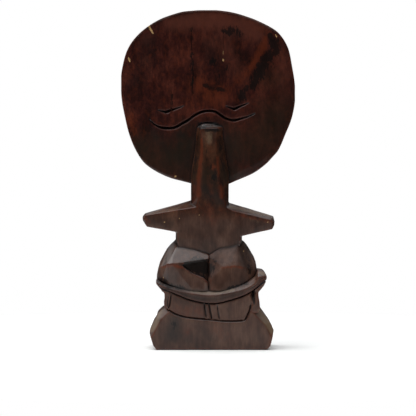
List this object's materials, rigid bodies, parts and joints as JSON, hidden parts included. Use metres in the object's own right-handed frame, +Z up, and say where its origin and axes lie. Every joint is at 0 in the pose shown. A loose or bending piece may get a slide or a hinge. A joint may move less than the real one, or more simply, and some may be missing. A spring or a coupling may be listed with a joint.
{
  "type": "carved disc-headed doll",
  "caption": "Flat disc-headed wooden doll with stub arms, seated on a curved stool, carved from one stained billet",
  "frame": {"origin": "centre of the bounding box at the level that the foot block rests on", "axes": "+Z up, +X to the viewer's right, and the face looks along -Y"},
  "size_m": [0.17, 0.062, 0.33],
  "materials": {
    "stained_wood": "dark red-brown stain under rubbed wax",
    "worn_stained_wood": "dark red-brown stain, rubbed thinner"
  },
  "bodies": {
    "root": {"head_disc": "stained_wood", "nose_ridge": "worn_stained_wood", "neck": "worn_stained_wood", "torso": "stained_wood", "left_arm": "stained_wood", "right_arm": "stained_wood", "left_thigh": "stained_wood", "right_thigh": "stained_wood", "stool_seat": "stained_wood", "stool_support": "worn_stained_wood", "stool_base": "worn_stained_wood"}
  },
  "joints": []
}
